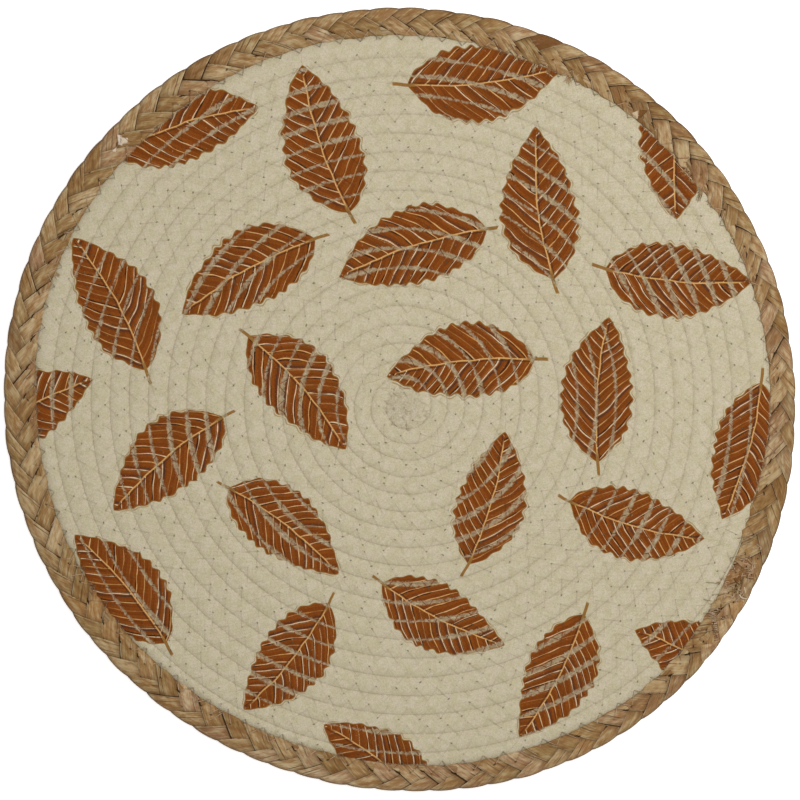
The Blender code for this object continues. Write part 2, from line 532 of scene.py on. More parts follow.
PRINT_FROM, PRINT_TO = 4.4, 5.6  # heights between which the print begins
RUST, LIT_RUST = (0.168, 0.038, 0.0032), (0.205, 0.051, 0.0050)
WORN_RUST, DEEP_RUST = (0.235, 0.072, 0.012), (0.115, 0.034, 0.006)
GOLD, PALE_GOLD, ORANGE_GOLD = (0.56, 0.32, 0.11), (0.56, 0.30, 0.10), (0.36, 0.15, 0.045)
PALE_LINE, DARK_LINE, SLOT_LINE = (0.62, 0.46, 0.29), (0.020, 0.008, 0.005), (0.042, 0.024, 0.019)
RIB_SHADOW, EDGE_LINE = (0.04, 0.016, 0.01), (0.24, 0.125, 0.030)
STEM_LINE, MISSED_LINE = (0.24, 0.12, 0.03), (0.32, 0.19, 0.06)


def vein_lines(net, where, x, y, lot):
    """Share of each kind of line that the side veins are drawn in, and a vein's own facts."""
    wide, side = abs(y), y.sign()
    spacing = 5.0 + 1.0 * lot
    sweep = x - 0.75 * wide - 0.018 * wide * wide + side * 1.3
    vein = sweep / spacing
    step = vein.fraction()
    chance = net.hash(vein.floor(), side, lot)
    away = (step - 0.5) * spacing
    thick = 0.26 * net.noise(where, 0.16, 1.0).band(0.32, 0.62)
    bold = 0.10 + 0.55 * net.noise(where, 0.12, 1.0).band(0.38, 0.64)
    light = abs(away).band(thick + 0.2, thick) * chance.band(0.0, 0.3, 0.25)
    dark = abs(away - 0.2 - bold).band(bold, bold * 0.55) * chance.band(0.2, 0.4)
    second = abs(away - 1.9 + chance * 1.2).band(0.26, 0.08) * chance.band(0.62, 0.66)
    slot = abs(away + 1.35).band(0.6, 0.3) * chance.band(0.72, 0.78)
    return light, dark, second, slot, side, step, chance


def printed_leaf(net, where):
    """The ink of the printed leaves: how much there is, and its colour."""
    x, y, lot = net.triple("leaf_place")
    drawn = net.noise(where, 0.08, 1.0)
    fine = net.noise(where, 1.1, 3.0, 0.65)
    y = y - 0.0026 * x * x + (drawn - 0.5) * 2.0
    x = x + (net.noise(where, 0.06, 1.0) - 0.5) * 5.0
    wide = abs(y)
    q = x / LEAF_LENGTH
    room = net.most(1.0 - q * q, 0.0)
    half = LEAF_WIDTH * room**0.8 * (1.0 - 0.25 * q)
    half = half * (1.0 + 0.05 * (x * (2 * math.pi / RIPPLE_LENGTH)).sine())
    inside = half - wide
    body = inside.band(-0.15, 0.15)
    stem = wide.band(0.9, 0.6) * x.band(-LEAF_LENGTH - 7, -LEAF_LENGTH - 6)
    stem = stem * x.band(-LEAF_LENGTH + 6, -LEAF_LENGTH + 2)
    midrib = wide.band(0.42, 0.16) * x.band(LEAF_LENGTH - 3, LEAF_LENGTH - 8)

    # Side veins sweep forward from the midrib, in lines of gold, cream and near black.
    light, dark, second, slot, side, step, chance = vein_lines(net, where, x, y, lot)
    reach = inside.band(0.2, 1.6)
    pale = net.mix(chance.band(0.3, 0.7), PALE_GOLD, PALE_LINE)
    shadow = abs(wide - 1.0).band(0.35, 0.15) * side.band(0.0, 0.5)
    # A second outline that missed the leaf's edge shows here and there.
    missed = abs(inside + 0.2 + 1.1 * drawn).band(0.42, 0.16) * room.band(0.02, 0.08)
    missed = missed * net.noise(where, 0.10, 1.0).band(0.50, 0.60) * 0.62
    colour = net.layers(
        RUST,
        (step.band(0.0, 1.0), LIT_RUST),
        (fine.band(0.55, 0.85, 0.0, 0.7), WORN_RUST),
        (net.noise(where, 0.09, 1.0).band(0.35, 0.7, 0.0, 0.3), DEEP_RUST),
        (slot * 0.8 * reach, SLOT_LINE),
        (dark * 0.92 * reach, DARK_LINE),
        (second * 0.8 * reach, ORANGE_GOLD),
        (light * reach, pale),
        (midrib, GOLD),
        (shadow * 0.7 * inside.band(0.5, 2.0), RIB_SHADOW),
        (inside.band(0.75, 0.3) * fine.band(0.3, 0.5, 0.4, 0.95), EDGE_LINE),
        (stem, STEM_LINE),
        (missed, MISSED_LINE),
    )
    return net.most(net.most(body, stem), missed), colour


def needle_hole(net, count, phase, off_line, size):
    """A needle's hole, and the hollow that its thread pulls, once in each repeat of a zigzag."""
    at = ((count + phase).fraction() - 0.5) * STITCH_REPEAT
    chance = net.hash((count + phase).floor(), phase)
    long_way = at * (1.25 - 0.7 * chance)
    short_way = off_line + at * (chance - 0.5)
    away = (long_way * long_way + short_way * short_way) ** 0.5
    hole = away.band(size, size * 0.2) * chance.band(0.1, 0.8, 0.15, 1.0)
    return hole, away.band(2.2, 0.3)


def seam_shadow(net):
    """Shadow beside some of the threads that cross the seam of rope and border."""
    past_hole, count, span = net.triple("seam")
    climb = 1.0 - abs(count.fraction() * 2.0 - 1.0)
    from_thread = abs(past_hole - span * climb) * 0.68
    leg = net.hash((count * 2.0).floor(), 7.0)
    shadow = from_thread.band(0.62, 0.28) * leg.band(0.35, 0.9, 0.0, 0.75)
    return shadow * past_hole.band(-0.5, 0.0)


def braided_cover(net):
    """Two sets of strands that pass over and under each other, and the strands' own tone."""
    along, around, _ = net.triple("weave")
    one, two = (along + around) / STRAND_WIDTH, (along - around) / STRAND_WIDTH
    over = ((one.floor() + two.floor()) / 2.0).fraction() * 2.0
    ridge_one = (one.fraction() * math.pi).sine()
    ridge_two = (two.fraction() * math.pi).sine()
    braid = over * ridge_one + (1.0 - over) * ridge_two
    return braid, net.noise(net.vector(one * 3.0, two * 3.0, along * 0.02), 1.0, 2.0)


def worn_centre(net, where, x, y, fine):
    """How grey the coil's centre has gone, which is handled the most."""
    middle = (COIL_CENTRE + WHORL_DRIFT).tolist()
    away = ((x - middle[0]) ** 2.0 + (y - middle[1]) ** 2.0) ** 0.5
    return (away + 6.0 * fine).band(13.0, 8.5) * net.noise(where, 1.2, 4.0).band(0.35, 0.65)


def cotton_material():
    net = Net("cotton_rope", Roughness=0.95, Sheen_Weight=0.012, Sheen_Roughness=0.6,
              Specular_IOR_Level=0.02)
    # The first colour darkens specks of dust, and darkens the grooves with dust and painted shade
    # together.
    dust_and_shade, centre_grey = (0.30, 0.25, 0.17), (0.355, 0.300, 0.225)
    where = net.place()
    x, y, height = net.split(where)
    fine = net.noise(where, 2.2, 3.0, 0.7)
    patch = net.noise(where, 0.35, 2.0)
    lint = net.noise(where, 0.9, 4.0, 0.75).band(0.3, 0.7)
    fluff = net.noise(where, 2.1, 2.0, 0.7).band(0.26, 0.60)
    flecks = net.noise(where, 0.95, 4.0, 0.85).band(0.60, 0.70)
    braid, strand = braided_cover(net)
    cream = net.layers(
        (0.480, 0.422, 0.276),
        (net.noise(where, 0.26, 2.0, 0.6).band(0.35, 0.65), (0.522, 0.460, 0.334)),
        (patch.band(0.52, 0.75, 0.0, 0.4), (0.505, 0.415, 0.305)),
        (patch.band(0.45, 0.25, 0.0, 0.4), (0.460, 0.440, 0.280)),
    )
    # The braid's strands are painted a little lighter at their crowns and darker at their edges:
    # painted shade of the weave.
    cream = net.shade(cream, 0.735 + 0.02 * braid + 0.09 * lint + 0.03 * strand + 0.26 * fluff)

    # Grooves hold dust and painted shade, which paler painted light breaks up in places; the
    # print leaves them bare, with a stain of its ink.
    from_inner = net.number("from_inner")
    rim = net.least(from_inner, net.number("from_outer"))
    broken = net.noise(where, 0.45, 3.0, 0.6)
    ink, colour = printed_leaf(net, where)
    printed_side = height.band(PRINT_FROM, PRINT_TO)
    ragged = net.noise(where, 0.7, 3.0, 0.65)
    bare = net.noise(where, 0.045, 1.0).band(0.38, 0.62, 0.30, 1.05)
    reach = (rim + (ragged - 0.5) * 2.6 - bare).band(
        -0.35, 0.6, broken.band(0.35, 0.7, 0.04, 0.5))
    cover = ink * printed_side * reach * net.noise(where, 0.8, 3.0, 0.6).band(0.27, 0.33, 0.45)
    stain_colour = net.mix(patch, (0.285, 0.205, 0.090), (0.335, 0.225, 0.120))
    # Painted shade with dust, in broken lines along the grooves.
    groove_dust_and_shade = rim.band(0.75, 0.1) * broken.band(0.38, 0.6)
    # Paler patches at the grooves: painted light that breaks up their shade, as lint lying across
    # them would.
    lint_and_painted_light = rim.band(0.7, 0.25) * net.noise(where, 0.75, 3.0, 0.7).band(0.50, 0.62)

    # Needle holes of the zigzag lie beside both grooves, and the seam's in the last turn.
    first, pull_first = needle_hole(
        net, net.number("stitch_inner"), 0.5, from_inner - HOLE_OUTWARD, 0.5)
    second, pull_second = needle_hole(
        net, net.number("stitch_outer"), 0.0, net.number("off_outer"), 0.5)
    holes = net.most(first, second)
    pulls = net.most(pull_first, pull_second)
    base = net.layers(
        cream,
        (flecks * 0.45, dust_and_shade),
        (worn_centre(net, where, x, y, fine) * 0.62, centre_grey),
        (ink * printed_side * ragged.band(0.3, 0.7, 0.4, 0.85), stain_colour),
        # Dust and painted shade in the grooves.
        (groove_dust_and_shade * 0.26, dust_and_shade),
        # Painted light over parts of the grooves.
        (lint_and_painted_light * 0.42, (0.66, 0.59, 0.44)),
        # The ink is painted lighter on the braid's crowns and darker at their edges: painted
        # shade of the weave.
        (cover * 0.985, net.shade(colour, 0.88 + 0.14 * braid + 0.10 * fine)),
        # Needle holes painted dark: the shade in them.
        (holes * 0.68, (0.13, 0.105, 0.063)),
        (seam_shadow(net) * fine.band(0.3, 0.55) * 0.5, (0.22, 0.18, 0.11)),
    )
    return net.finish(base, (1.0 - holes, 0.4), (1.0 - pulls, 0.25), (braid, 0.07), (fine, 0.30),
                      (net.noise(where, 4.0, 2.0), 0.10))


def thread_material(name, over_rope, dull, bright, inked):
    """Sewing thread: its colour where it lies on the rope, and its two colours beyond."""
    net = Net(name, Roughness=0.85, Sheen_Weight=0.02, Sheen_Roughness=0.5,
              Specular_IOR_Level=0.06)
    where = net.place()
    fine = net.noise(where, 3.0, 2.0)
    ply = (net.number("run") * 9.0).sine()
    ink, colour = printed_leaf(net, where)
    height = net.split(where)[2]
    base = net.layers(
        dull,
        ((fine + net.noise(where, 0.3, 1.0)).band(0.7, 1.3), bright),
        (net.number("beyond").band(0.4, -0.4), over_rope),
        (ink * height.band(PRINT_FROM, PRINT_TO) * inked, colour),
    )
    return net.finish(base, (0.5 + 0.5 * ply, 0.08), (fine, 0.05))


GREY_LEAF = (0.262, 0.180, 0.088)
STRIP_HUES = (
    # the hue numbers between which a colour takes over from the one before it, and the colour
    (0.0, 0.25, (0.300, 0.166, 0.084)),  # pink
    (0.2, 0.40, (0.294, 0.172, 0.066)),  # tan
    (0.45, 0.6, (0.280, 0.174, 0.066)),  # olive
    (0.6, 0.78, (0.370, 0.252, 0.120)),  # straw
    (0.8, 0.92, (0.322, 0.168, 0.056)),  # orange
    (0.965, 0.985, (0.165, 0.060, 0.026)),  # dark red
)


def strip_hue(net, hue, patch, mottle, stain):
    """A leaf strip's own colour, and the patches and stains in it."""
    own = ((hue.band(low, high), colour) for low, high, colour in STRIP_HUES)
    return net.layers(
        GREY_LEAF,
        *own,
        (patch.band(0.45, 0.75, 0.0, 0.4), (0.335, 0.205, 0.088)),
        (mottle.band(0.52, 0.68, 0.0, 0.55), (0.262, 0.196, 0.094)),
        (mottle.band(0.48, 0.34, 0.0, 0.5), (0.325, 0.180, 0.098)),
        (stain.band(0.56, 0.70, 0.0, 0.65), (0.260, 0.122, 0.038)),
    )


def strip_splits(net, across, lot, grain, patch):
    """Where a strip has split along its fibre, in two places at most."""
    split = 0.0
    strip = (lot * 977.0).floor()
    for part in (3.0, 11.0):
        split_at = net.hash(strip, part) * 9.0 - 4.5
        crack = abs(across - split_at + (grain - 0.5) * 0.7).band(0.26, 0.06)
        kept = net.hash(strip, part + 2.0).band(0.25, 0.9)
        split = net.most(split, crack * kept * patch.band(0.35, 0.55))
    return split


def leaf_strip_material():
    net = Net("leaf_strip", Roughness=0.62, Sheen_Weight=0.0, Sheen_Roughness=0.4,
              Specular_IOR_Level=0.05)
    where = net.place()
    along, across, under = net.triple("fibre")
    light, hue, lot = net.triple("tint")
    shift = lot * 53.0
    grain = net.noise(net.vector(along * 0.10 + shift, across * 1.5, shift), 1.0, 3.0, 0.6)
    fibre = net.noise(net.vector(along * 0.20 + shift, across * 4.5, shift), 1.0, 2.0, 0.6)
    patch = net.noise(net.vector(along * 0.16 + shift, across * 0.3, shift + 9), 1.0, 2.0)
    mottle = net.noise(net.vector(along * 0.24, across * 0.34 + shift, shift + 21), 1.0, 3.0, 0.6)
    stain = net.noise(net.vector(along * 0.15 + shift, across * 0.24, shift + 40), 1.0, 2.0)
    speck = net.noise(where, 1.5, 3.0, 0.7)
    tone = 0.19 * grain.band(0.2, 0.8) + 0.13 * fibre.band(0.2, 0.8)
    tone = tone + 0.20 * light + 0.28 * patch + 0.24 * mottle.band(0.3, 0.7)
    torn = light.band(1.3, 2.2) * speck.band(0.35, 0.6, 0.6, 1.0)
    # A paler line along the strip's covering edge: a painted highlight.
    painted_edge_highlight = across.band(-4.1, -4.6) * mottle.band(0.35, 0.6, 0.2, 0.8)
    split = strip_splits(net, across, lot, grain, patch)
    specks = speck.band(0.70, 0.76)
    # Painted shade darkens the bend round the border's edge, between its top and its underside.
    height = net.split(where)[2]
    bend = height.band(5.4, 4.2) * height.band(2.4, 3.2)
    past_hole, count, span = net.triple("seam")
    holes, pulls = needle_hole(net, count, 0.0, past_hole - span, 0.75)
    base = net.layers(
        strip_hue(net, hue, patch, mottle, stain),
        (tone.band(0.60, 0.14, 0.0, 1.0), (0.140, 0.062, 0.015)),
        (tone.band(0.47, 0.86, 0.0, 1.0), (0.505, 0.385, 0.228)),
        (torn, (0.62, 0.52, 0.42)),
        # Painted highlight along the strip's covering edge.
        (painted_edge_highlight, (0.47, 0.36, 0.21)),
        (split * 0.7, (0.085, 0.045, 0.018)),
        (specks * 0.55, (0.06, 0.032, 0.014)),
        # Shade is painted into the creases where a strip runs in under another: a wide soft band,
        # then a dark line at the crease.
        (under.band(-4.6, -0.3, 0.0, 0.46), (0.120, 0.056, 0.018)),
        ((under + (grain - 0.5) * 0.7).band(-0.35, 0.2, 0.0, 0.9), (0.036, 0.015, 0.006)),
        # Painted shade on the bend round the border's edge.
        (bend * 0.68, (0.092, 0.053, 0.024)),
        (seam_shadow(net) * 0.4 * past_hole.band(8.0, 7.0), (0.10, 0.055, 0.022)),
        # The seam's needle holes painted dark: the shade in them.
        (holes * 0.9, (0.030, 0.016, 0.008)),
    )
    return net.finish(base, (1.0 - split, 0.3), (grain, 0.3), (fibre, 0.18), (1.0 - specks, 0.2),
                      (1.0 - pulls, 0.3))


COTTON = cotton_material()
THREAD_CREAM = (0.455, 0.395, 0.268)
THREAD = thread_material("sewing_thread", THREAD_CREAM, THREAD_CREAM, (0.51, 0.446, 0.308), 1.0)
# Where it lies on the rope the border's thread is darker: partly its own brown, partly painted
# shade.
BORDER_THREAD = thread_material(
    "border_thread", (0.29, 0.225, 0.135), (0.31, 0.20, 0.115), (0.50, 0.36, 0.24), 0.75
)
STRIP = leaf_strip_material()


# -------------------- rope


def rope_height(from_edge):
    """Height of the rope's top at a distance in from the edge of its turn."""
    share = np.clip((1 - from_edge / (ROPE_PITCH / 2)) / ROPE_OVERLAP, 0.0, 1.0)
    lift = (1 - share**ROPE_SQUARENESS) ** (1 / ROPE_SQUARENESS)
    return ROPE_MIDDLE + lift * ROPE_RISE


def rope_turns():
    """Turn counts at which the rope's section is drawn."""
    turns = [ROPE_START + 0.01]
    while turns[-1] < COIL_TURNS - 0.006:
        radius = max(ROPE_PITCH * (turns[-1] - 0.5), 4.0)
        reach = min(3.4, max(0.7, 0.12 * radius))
        turns.append(turns[-1] + min(reach / (2 * math.pi * radius), 1 / 40))
    return np.array(turns + [COIL_TURNS - 0.004])


def stitch_count(turn):
    """Zigzag repeats sewn along the groove from the centre to a turn."""
    return math.pi * ROPE_PITCH * np.maximum(turn, 0.0) ** 2 / STITCH_REPEAT


def stitch_turn(count):
    """The turn at which a number of zigzag repeats are sewn."""
    return np.sqrt(count * STITCH_REPEAT / (math.pi * ROPE_PITCH))


def rounded(wave, squareness):
    """A sine or cosine bent so that the circle it draws becomes a rounded square."""
    wave = np.round(wave, 9)
    return np.sign(wave) * np.abs(wave) ** (2 / squareness)


def rope_section(turn, inner, outer, half, length):
    """Points of the rope, their offsets outwards from its middle, and the way round its section.

    Points and offsets have a row for each turn and a column for each side of the section.
    """
    # Round the coil's centre the section is nearly square on its inner side.
    room = np.linalg.norm(inner - inner[0], axis=-1)[:, None]
    clear = smooth(room, 0.0, 1.5)
    around = 2 * np.pi * np.arange(ROPE_SIDES) / ROPE_SIDES
    inward = np.cos(around) < -0.01
    squareness = ROPE_SQUARENESS + 36 * (1 - clear) * inward
    across = rounded(np.cos(around), squareness)
    lift = rounded(np.sin(around), squareness)
    last_across, last_lift = (np.append(side[-1], side[-1, 0]) for side in (across, lift))
    sides = np.hypot(np.diff(last_across) * ROPE_PITCH / 2, np.diff(last_lift) * ROPE_RISE)
    perimeter = np.concatenate(([0.0], np.cumsum(sides)))

    # The first turns close on the coil's centre, flat up to it and not past it.
    closed = 1 - smooth(turn, CLOSED_TURNS, CLOSED_TURNS + 0.45)
    inner_overlap = 1 + (ROPE_OVERLAP - 1 + 1.1 * closed) * clear
    across_run = across * np.where(inward, inner_overlap, ROPE_OVERLAP)
    across_run = np.maximum(across_run, -1 - 0.95 * room / half)

    # The last turn is pressed down by the seam with the border.
    pressed = smooth(turn, LAST_TURN - 0.05, LAST_TURN + 0.07)
    pressed = pressed * smooth(across, 0.0, 1.0) * (lift > 0) * PRESSED
    swell = 0.07 * np.sin(length / 5.3) + 0.06 * np.sin(length / 2.9 + 1)
    upper = (lift > 0) * (swell[:, None] - 0.07)
    z = ROPE_MIDDLE + lift * (ROPE_RISE + upper) - pressed
    middle, reach = (outer + inner) / 2, (outer - inner) / 2
    plan = middle[:, None] + across_run[..., None] * reach[:, None]
    return raised(plan, z), across_run * half, perimeter


def give_rope_seams(rope, turn, half, offset):
    """Store how far each point of the rope is from its grooves, and the sewing along them."""
    # The closed turns lie round no groove that shows.
    solid = 12.0 * (1 - smooth(turn, CLOSED_TURNS + 0.1, CLOSED_TURNS + 0.35))
    # The last turn is sewn to the border, each turn before it to the next turn.
    angle = COIL_START + 360 * turn
    last = turn >= LAST_TURN
    count = np.where(last, angle / 360 * SEAM_REPEATS + 0.5, stitch_count(turn))
    hole = np.where(last, seam_hole(angle, True), HOLE_INWARD)
    first_of_last = int(np.argmax(last))
    # No hole is drawn where one count gives way to the other.
    hole[first_of_last - 1:first_of_last + 1] = FAR_AWAY
    beyond = np.where(last, offset - half, FAR_INSIDE)
    give(
        rope,
        from_inner=(offset + half + solid).ravel(),
        from_outer=(half - offset).ravel(),
        stitch_inner=np.repeat(stitch_count(turn - 1), ROPE_SIDES),
        stitch_outer=np.repeat(count, ROPE_SIDES),
        off_outer=(half - offset - hole).ravel(),
        seam=seam_facts(np.repeat(angle, ROPE_SIDES, 1), beyond).reshape(-1, 3),
    )


def make_rope():
    turn = rope_turns()
    inner, outer = groove(turn - 1), groove(turn)
    half = np.maximum(np.linalg.norm(outer - inner, axis=-1) / 2, 0.02)[:, None]
    length = run_along((outer + inner) / 2)
    rows = len(turn)
    turn = turn[:, None]
    points, offset, perimeter = rope_section(turn, inner, outer, half, length)
    points = points.reshape(-1, 3)
    body = grid_faces(rows, ROPE_SIDES, 0, ring=True)
    faces = body.tolist()
    faces.append(list(range(ROPE_SIDES))[::-1])
    faces.append(list(range((rows - 1) * ROPE_SIDES, rows * ROPE_SIDES)))
    rope = make_piece("Coiled_rope", points, faces, "rope_coil", "cotton_rope", COTTON)
    give_rope_seams(rope, turn, half, offset)

    # Corner values: the weave's coordinates and the place in the nearest printed leaf.
    i, j = np.divmod(np.arange(len(body)), ROPE_SIDES)
    along = length[i[:, None] + (0, 0, 1, 1)]
    around = perimeter[j[:, None] + (0, 1, 1, 0)]
    weave = np.stack((along, around, 0 * along), -1).reshape(-1, 3)
    place = leaf_place(points[body, :2], points[body, :2].mean(1)).reshape(-1, 3)
    # The two end faces carry no print.
    caps = np.zeros((2 * ROPE_SIDES, 3))
    weave, place = np.concatenate((weave, caps)), np.concatenate((place, caps + NO_LEAF))
    give(rope, "CORNER", weave=weave, leaf_place=place)
    return rope


# -------------------- sewing


def make_thread(name, lines, node="plaited_border", material=BORDER_THREAD, sides=4):
    """Sewing threads along lines, each of them points by three."""
    lines = np.array(list(lines))
    points, faces = tubes(lines, THREAD_RADIUS, sides)
    thread = make_piece(name, points, faces, node, "cotton_rope", material)
    owners = np.repeat(lines[:, :, :2].mean(1), lines.shape[1] * sides, axis=0)
    give(
        thread,
        leaf_place=leaf_place(points[:, :2], owners),
        run=np.repeat(run_along(lines).ravel(), sides),
        beyond=around_mat(points[:, :2])[1],
    )
    return thread


def zigzag_lines(top):
    """Threads across the grooves of the coil, on the top or the underside."""
    half_steps = np.arange(3, int(stitch_count(LAST_TURN - 0.01) * 2))[:, None]
    turn, turn_after = stitch_turn(half_steps / 2), stitch_turn((half_steps + 1) / 2)
    outward = half_steps % 2 == 0
    start = np.where(outward, HOLE_OUTWARD, -HOLE_INWARD)
    end = np.where(outward, -HOLE_INWARD, HOLE_OUTWARD)
    share = np.array((0.0, 0.07, 0.22, 0.40, 0.58, 0.78, 0.93, 1.0))
    turns = turn + (turn_after - turn) * share
    offset = start + (end - start) * share
    plan = groove(turns) + offset[..., None] * direction(COIL_START + 360 * turns)
    lowest = ROPE_TOP - 0.62 - 0.2 * np.sin(half_steps * 1.7) ** 2
    taut = np.maximum(rope_height(np.abs(offset)), lowest)
    sunk = np.array((-0.9, -0.08, 0.0, 0.03, 0.03, 0.0, -0.08, -0.9))
    sunk = sunk - 0.07 * (1 + np.sin(half_steps * 2.7 + 0.4 * np.sin(half_steps * 0.9)))
    if top:
        return raised(plan, taut + sunk)
    return raised(plan, np.maximum(ROPE_TOP + ROPE_UNDERSIDE - taut - sunk, 0.16))


# -------------------- plait


def plait_crest(share):
    """Height of the plait's top surface across the border."""
    return np.interp(share, (-0.1, 0.0, 0.06, 0.15, 0.3, 0.5, 0.68, 0.82, 0.92, 0.975, 1.0),
                     (4.8, 5.2, 5.7, 6.1, 6.45, 6.55, 6.5, 6.15, 5.45, 4.4, 3.3))


def plait_floor(share):
    return np.interp(share, (-0.1, 0.0, 0.05, 0.15, 0.35, 0.65, 0.85, 0.94, 0.985, 1.0),
                     (2.6, 2.2, 1.2, 0.5, 0.22, 0.22, 0.55, 1.15, 2.1, 3.3))


def strip_path(outer):
    """Shares of the border's width and sides that a strip passes, from below round the edge."""
    below = np.array((0.66, 0.5, 0.34, 0.2, 0.09, 0.03))
    above = np.array((0.0, 0.015, 0.05, 0.11, 0.19, 0.28, 0.38, 0.48, 0.58, 0.68, 0.76, 0.84))
    depth = np.concatenate((below, above))
    side = np.concatenate((-np.ones(len(below)), [0.0], np.ones(len(above) - 1)))
    return (1 - depth if outer else depth), depth, side


def strip_angle(k):
    """Angle at which a strip starts: the even ones are the outer rank, the odd ones the inner."""
    return LOBE_STEP * (k // 2) + 0.2 * math.sin(k * 0.33)


def line_of(outer, share, width):
    """How far a strip's edge has run on, in mm, where it is at a share of the width."""
    return OUTER_SLANT * width * (1 - share) if outer else INNER_SLANT * width * share


TINT_STRETCHES = (
    # from, to, which rank (1 outer, 0 inner, None both), lightness, hue
    (66, 70, 1, -0.35, 0.99),
    (135, 139, None, 0.7, 0.18),
    (196, 199, 1, 0.1, 0.1),
    (208, 212, None, 0.35, 0.9),
    (48, 51, 0, 0.0, 0.05),
)
# Patches of leaf strip: the plait's two ends overlap at the lower right, under patches and dense
# sewing, and a few strips are torn or knotted elsewhere.
PATCHES = (
    # four corners round the patch, in mm; lift, lightness, hue
    ((143.9, -115.6), (148.8, -111.5), (149.7, -114.5), (147.3, -117.8), 0.55, 0.55, 0.50),
    ((144.7, -118.2), (153.9, -116.7), (153.9, -120.7), (145.8, -129.2), 0.60, 0.75, 0.30),
    ((167.2, -83.9), (173.1, -80.2), (170.9, -86.1), (167.9, -85.7), 0.60, 0.40, 0.24),
    ((161.6, -78.0), (167.9, -76.2), (170.9, -79.5), (166.4, -82.4), 0.65, 0.35, 0.20),
    ((160.5, -86.1), (165.7, -84.3), (165.3, -87.2), (162.4, -88.7), 0.58, -0.80, 0.99),
    ((158.7, -97.9), (167.0, -97.0), (162.2, -108.0), (159.6, -103.8), 0.62, 0.75, 0.90),
    ((154.6, -101.6), (158.3, -97.9), (159.5, -103.3), (152.4, -105.8), 0.74, 0.45, 0.16),
    ((152.8, -106.6), (160.0, -104.9), (161.6, -108.9), (154.6, -119.1), 0.78, 1.00, 0.38),
    ((165.3, -85.4), (170.9, -87.0), (167.7, -96.1), (163.3, -94.1), 0.82, 0.30, 0.07),
    ((-136.1, 127.7), (-134.0, 127.4), (-133.5, 124.5), (-135.7, 124.0), 0.50, 2.20, 0.20),
    ((-134.4, 126.4), (-130.7, 126.0), (-130.8, 123.8), (-134.1, 122.8), 0.54, 1.90, 0.15),
    ((-135.3, 124.5), (-132.7, 125.0), (-133.6, 122.1), (-135.6, 122.8), 0.62, 2.05, 0.20),
    ((-138.4, 120.0), (-136.3, 121.5), (-136.6, 119.2), (-138.0, 119.2), 0.45, 2.00, 0.20),
    ((115.6, 139.7), (119.7, 139.2), (116.3, 135.6), (115.1, 134.6), 0.55, -0.95, 0.99),
    ((111.7, 138.0), (115.1, 139.4), (114.9, 134.6), (112.9, 135.6), 0.60, 1.60, 0.14),
    ((139.9, 105.5), (142.1, 106.4), (143.3, 104.3), (140.9, 103.5), 0.60, 0.10, 0.14),
    ((52.3, 171.2), (55.4, 170.5), (57.8, 165.7), (55.6, 166.4), 0.70, 0.55, 0.16),
    ((163.3, -93.9), (164.0, -93.8), (165.0, -95.3), (164.3, -95.7), 1.20, 1.75, 0.15),
    ((164.3, -95.1), (164.5, -95.8), (167.9, -96.4), (167.9, -95.8), 1.20, 1.75, 0.15),
    ((165.7, -90.2), (166.3, -90.2), (166.9, -93.1), (166.3, -93.2), 1.20, 1.55, 0.15),
)
# Holes that the joint's sewing left, each a small patch painted dark as the shade in it.
JOINT_HOLES = (
    (163.7, -93.2), (164.9, -77.8), (172.6, -76.6), (146.4, -116.5), (160.9, -97.6),
    (158.8, -82.4), (162.0, -89.6), (169.6, -84.4), (151.2, -107.9), (167.0, -80.4),
)


def top_height(angle, beyond):
    """Height of the mat's top near the seam: the pressed rope, then the border."""
    crest = plait_crest(beyond / border_width(angle))
    pressed = PRESSED * smooth(beyond, -4.6, 0.0)
    rope_side = rope_height(np.maximum(-beyond, 0.0)) - pressed
    return np.where(beyond < 0, np.maximum(rope_side, crest), crest)


def on_top(plan, margin):
    """A plan drawn in to a margin from the mat's edge, and the top's height there."""
    angle, beyond = around_mat(plan)
    beyond = np.minimum(beyond, border_width(angle) - margin)
    return beside_rope(angle, beyond), top_height(angle, beyond)


def add_patch(strips, corners, lift, light, hue, hidden=NOT_UNDER):
    """A four-sided patch of leaf strip that lies on the mat, its rim turned down."""
    share = np.array((0.0, 0.05, 0.2, 0.4, 0.6, 0.8, 0.95, 1.0))
    a, b = share[:, None, None], share[None, :, None]
    first, second, third, fourth = (np.array(corner) for corner in corners)
    plan = (1 - a) * ((1 - b) * first + b * second) + a * ((1 - b) * fourth + b * third)
    plan, z = on_top(plan, 0.3)
    inside = np.minimum(share, 1 - share)
    rim = np.minimum(inside[:, None], inside[None, :])
    z = z + lift - 0.4 * (1 - smooth(rim, 0.0, 0.07))
    crown = 0.25 * arch(share)[:, None] * arch(share)
    z = z + crown + rng.uniform(-0.03, 0.03)
    length, width = np.linalg.norm(fourth - first), np.linalg.norm(second - first)
    along, across = np.broadcast_arrays(a[..., 0] * length, b[..., 0] * width - width / 2)
    fibre = np.stack((along, across, np.full_like(z, hidden)), -1)
    tint = np.broadcast_to(np.array((light, hue, rng.random())), fibre.shape)
    seam = np.broadcast_to(np.array(UNSEWN), fibre.shape)
    strips.add(raised(plan, z), 3, fibre=fibre, tint=tint, seam=seam)


